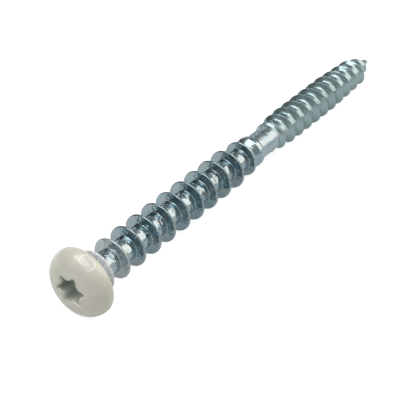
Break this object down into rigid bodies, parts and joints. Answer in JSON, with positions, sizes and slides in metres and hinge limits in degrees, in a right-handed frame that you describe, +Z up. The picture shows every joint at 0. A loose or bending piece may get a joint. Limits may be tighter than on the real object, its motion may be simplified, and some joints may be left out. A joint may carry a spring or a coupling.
{
  "type": "frame screw",
  "caption": "Ring-gripped frame screw with a lacquered domed head, a six-lobed drive, a smooth shank and a coarse wood thread running onto its point.",
  "frame": {"origin": "centre of the bounding box's base, on the surface that the screw lies on", "axes": "+Y from the head to the point, with the screw's axis dipping 2.2 degrees towards the point because the head is wider than the thread; +Z up"},
  "size_m": [0.0104, 0.0798, 0.0105],
  "materials": {
    "zinc_plated_steel": "bright blue zinc plating on steel; the head has a glossy pale cream lacquer"
  },
  "bodies": {
    "root": {"frame_screw": "zinc_plated_steel"}
  },
  "joints": []
}
